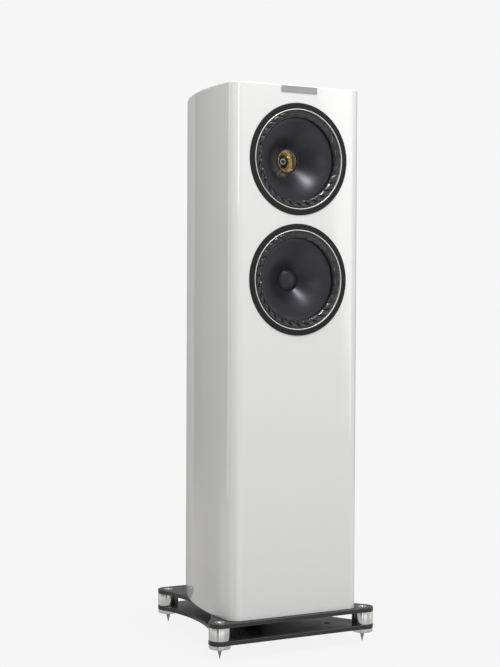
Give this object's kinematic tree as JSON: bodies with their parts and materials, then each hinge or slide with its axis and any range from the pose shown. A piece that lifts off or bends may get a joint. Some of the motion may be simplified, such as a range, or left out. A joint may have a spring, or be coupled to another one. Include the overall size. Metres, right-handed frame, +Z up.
{
  "type": "floorstanding speaker",
  "caption": "Tall floorstanding speaker with a bowed gloss cabinet, a coaxial driver above a bass driver, and a lobed open plinth on adjustable spikes.",
  "frame": {"origin": "on the floor under the middle of the plinth, level with the tips of the four spikes", "axes": "+Z up, the drivers face -Y, +X to the right of someone looking at the drivers"},
  "size_m": [0.3698, 0.388, 1.111],
  "materials": {
    "white_lacquer": "high-gloss white lacquer over board",
    "raw_board": "bare fibreboard",
    "satin_ring": "satin black paint",
    "rubber": "moulded, semi-gloss",
    "cone_metal": "dark satin anodised",
    "cast_basket": "die-cast, black coated",
    "copper": "enamelled copper wire",
    "spider_cloth": "resin-treated cloth",
    "steel": "zinc plated",
    "ferrite": "matt ferrite",
    "gold": "gold coloured, satin to bright",
    "black_plastic": "moulded, fine texture",
    "dome_metal": "spun, bright",
    "plinth_black": "black satin anodised",
    "aluminium": "turned and polished",
    "badge_silver": "satin",
    "circuit_board": "glass-fibre board",
    "capacitor_film": "wrapped film"
  },
  "bodies": {
    "cabinet": {"cabinet_shell": "white_lacquer", "rear_panel": "white_lacquer", "bottom_panel": "raw_board", "internal_brace": "raw_board", "badge": "badge_silver", "crossover_board": "circuit_board", "inductor_coil": "copper", "capacitor": "capacitor_film", "terminal_plate": "black_plastic", "port_tube": "black_plastic", "port_diffuser": "black_plastic", "phase_plug": "black_plastic", "binding_post_upper_left": "gold", "binding_post_upper_right": "gold", "binding_post_lower_left": "gold", "binding_post_lower_right": "gold", "plinth_top_plate": "plinth_black", "plinth_lower_plate": "plinth_black", "column_front_left": "aluminium", "column_front_right": "aluminium", "column_rear_left": "aluminium", "column_rear_right": "aluminium", "coax_basket": "cast_basket", "coax_trim_ring": "satin_ring", "coax_surround": "rubber", "coax_spider": "spider_cloth", "coax_front_plate": "steel", "coax_pole_plate": "steel", "coax_magnet": "ferrite", "bass_basket": "cast_basket", "bass_trim_ring": "satin_ring", "bass_surround": "rubber", "bass_spider": "spider_cloth", "bass_front_plate": "steel", "bass_pole_plate": "steel", "bass_magnet": "ferrite", "horn_throat": "gold", "hf_magnet": "steel"},
    "coax_diaphragm": {"coax_cone": "cone_metal", "coax_voice_coil": "copper"},
    "hf_diaphragm": {"hf_dome": "dome_metal"},
    "bass_diaphragm": {"bass_cone": "cone_metal", "bass_dust_cap": "cone_metal", "bass_voice_coil": "copper"},
    "adjuster_front_left": {"adjuster_front_left": "aluminium"},
    "spike_front_left": {"spike_front_left": "steel"},
    "lock_wheel_front_left": {"lock_wheel_front_left": "aluminium"},
    "adjuster_front_right": {"adjuster_front_right": "aluminium"},
    "spike_front_right": {"spike_front_right": "steel"},
    "lock_wheel_front_right": {"lock_wheel_front_right": "aluminium"},
    "adjuster_rear_left": {"adjuster_rear_left": "aluminium"},
    "spike_rear_left": {"spike_rear_left": "steel"},
    "lock_wheel_rear_left": {"lock_wheel_rear_left": "aluminium"},
    "adjuster_rear_right": {"adjuster_rear_right": "aluminium"},
    "spike_rear_right": {"spike_rear_right": "steel"},
    "lock_wheel_rear_right": {"lock_wheel_rear_right": "aluminium"},
    "binding_nut_upper_left": {"binding_nut_upper_left": "gold"},
    "binding_nut_upper_right": {"binding_nut_upper_right": "gold"},
    "binding_nut_lower_left": {"binding_nut_lower_left": "gold"},
    "binding_nut_lower_right": {"binding_nut_lower_right": "gold"}
  },
  "joints": [
    {"name": "coax_cone_travel", "type": "slide", "parent": "cabinet", "child": "coax_diaphragm", "axis": [0, -1, 0], "range_m": [-0.005, 0.005], "stiffness_N_per_m": 1500, "deforming": ["coax_surround", "coax_spider"]},
    {"name": "hf_dome_travel", "type": "slide", "parent": "cabinet", "child": "hf_diaphragm", "axis": [0, -1, 0], "range_m": [-0.0003, 0.0003], "stiffness_N_per_m": 2000},
    {"name": "bass_cone_travel", "type": "slide", "parent": "cabinet", "child": "bass_diaphragm", "axis": [0, -1, 0], "range_m": [-0.006, 0.006], "stiffness_N_per_m": 1200, "deforming": ["bass_surround", "bass_spider"]},
    {"name": "adjuster_turn_front_left", "type": "hinge", "parent": "cabinet", "child": "adjuster_front_left", "pos_m": [-0.163, -0.172, 0.0707], "axis": [0, 0, 1], "range_deg": [0, 2880]},
    {"name": "spike_travel_front_left", "type": "slide", "parent": "cabinet", "child": "spike_front_left", "axis": [0, 0, 1], "range_m": [-0.01, 0]},
    {"name": "lock_wheel_turn_front_left", "type": "hinge", "parent": "cabinet", "child": "lock_wheel_front_left", "pos_m": [-0.163, -0.172, 0.0278], "axis": [0, 0, 1], "range_deg": [0, 1080]},
    {"name": "adjuster_turn_front_right", "type": "hinge", "parent": "cabinet", "child": "adjuster_front_right", "pos_m": [0.163, -0.172, 0.0707], "axis": [0, 0, 1], "range_deg": [0, 2880]},
    {"name": "spike_travel_front_right", "type": "slide", "parent": "cabinet", "child": "spike_front_right", "axis": [0, 0, 1], "range_m": [-0.01, 0]},
    {"name": "lock_wheel_turn_front_right", "type": "hinge", "parent": "cabinet", "child": "lock_wheel_front_right", "pos_m": [0.163, -0.172, 0.0278], "axis": [0, 0, 1], "range_deg": [0, 1080]},
    {"name": "adjuster_turn_rear_left", "type": "hinge", "parent": "cabinet", "child": "adjuster_rear_left", "pos_m": [-0.109, 0.172, 0.0707], "axis": [0, 0, 1], "range_deg": [0, 2880]},
    {"name": "spike_travel_rear_left", "type": "slide", "parent": "cabinet", "child": "spike_rear_left", "axis": [0, 0, 1], "range_m": [-0.01, 0]},
    {"name": "lock_wheel_turn_rear_left", "type": "hinge", "parent": "cabinet", "child": "lock_wheel_rear_left", "pos_m": [-0.109, 0.172, 0.0278], "axis": [0, 0, 1], "range_deg": [0, 1080]},
    {"name": "adjuster_turn_rear_right", "type": "hinge", "parent": "cabinet", "child": "adjuster_rear_right", "pos_m": [0.109, 0.172, 0.0707], "axis": [0, 0, 1], "range_deg": [0, 2880]},
    {"name": "spike_travel_rear_right", "type": "slide", "parent": "cabinet", "child": "spike_rear_right", "axis": [0, 0, 1], "range_m": [-0.01, 0]},
    {"name": "lock_wheel_turn_rear_right", "type": "hinge", "parent": "cabinet", "child": "lock_wheel_rear_right", "pos_m": [0.109, 0.172, 0.0278], "axis": [0, 0, 1], "range_deg": [0, 1080]},
    {"name": "binding_nut_turn_upper_left", "type": "hinge", "parent": "cabinet", "child": "binding_nut_upper_left", "pos_m": [-0.019, 0.1674, 0.349], "axis": [0, 1, 0], "range_deg": [0, 1440]},
    {"name": "binding_nut_turn_upper_right", "type": "hinge", "parent": "cabinet", "child": "binding_nut_upper_right", "pos_m": [0.019, 0.1674, 0.349], "axis": [0, 1, 0], "range_deg": [0, 1440]},
    {"name": "binding_nut_turn_lower_left", "type": "hinge", "parent": "cabinet", "child": "binding_nut_lower_left", "pos_m": [-0.019, 0.1674, 0.311], "axis": [0, 1, 0], "range_deg": [0, 1440]},
    {"name": "binding_nut_turn_lower_right", "type": "hinge", "parent": "cabinet", "child": "binding_nut_lower_right", "pos_m": [0.019, 0.1674, 0.311], "axis": [0, 1, 0], "range_deg": [0, 1440]}
  ],
  "couplings": [
    {"joint": "adjuster_turn_front_left", "follows": "spike_travel_front_left", "rad_per_m": -5026.5},
    {"joint": "adjuster_turn_front_right", "follows": "spike_travel_front_right", "rad_per_m": -5026.5},
    {"joint": "adjuster_turn_rear_left", "follows": "spike_travel_rear_left", "rad_per_m": -5026.5},
    {"joint": "adjuster_turn_rear_right", "follows": "spike_travel_rear_right", "rad_per_m": -5026.5}
  ]
}
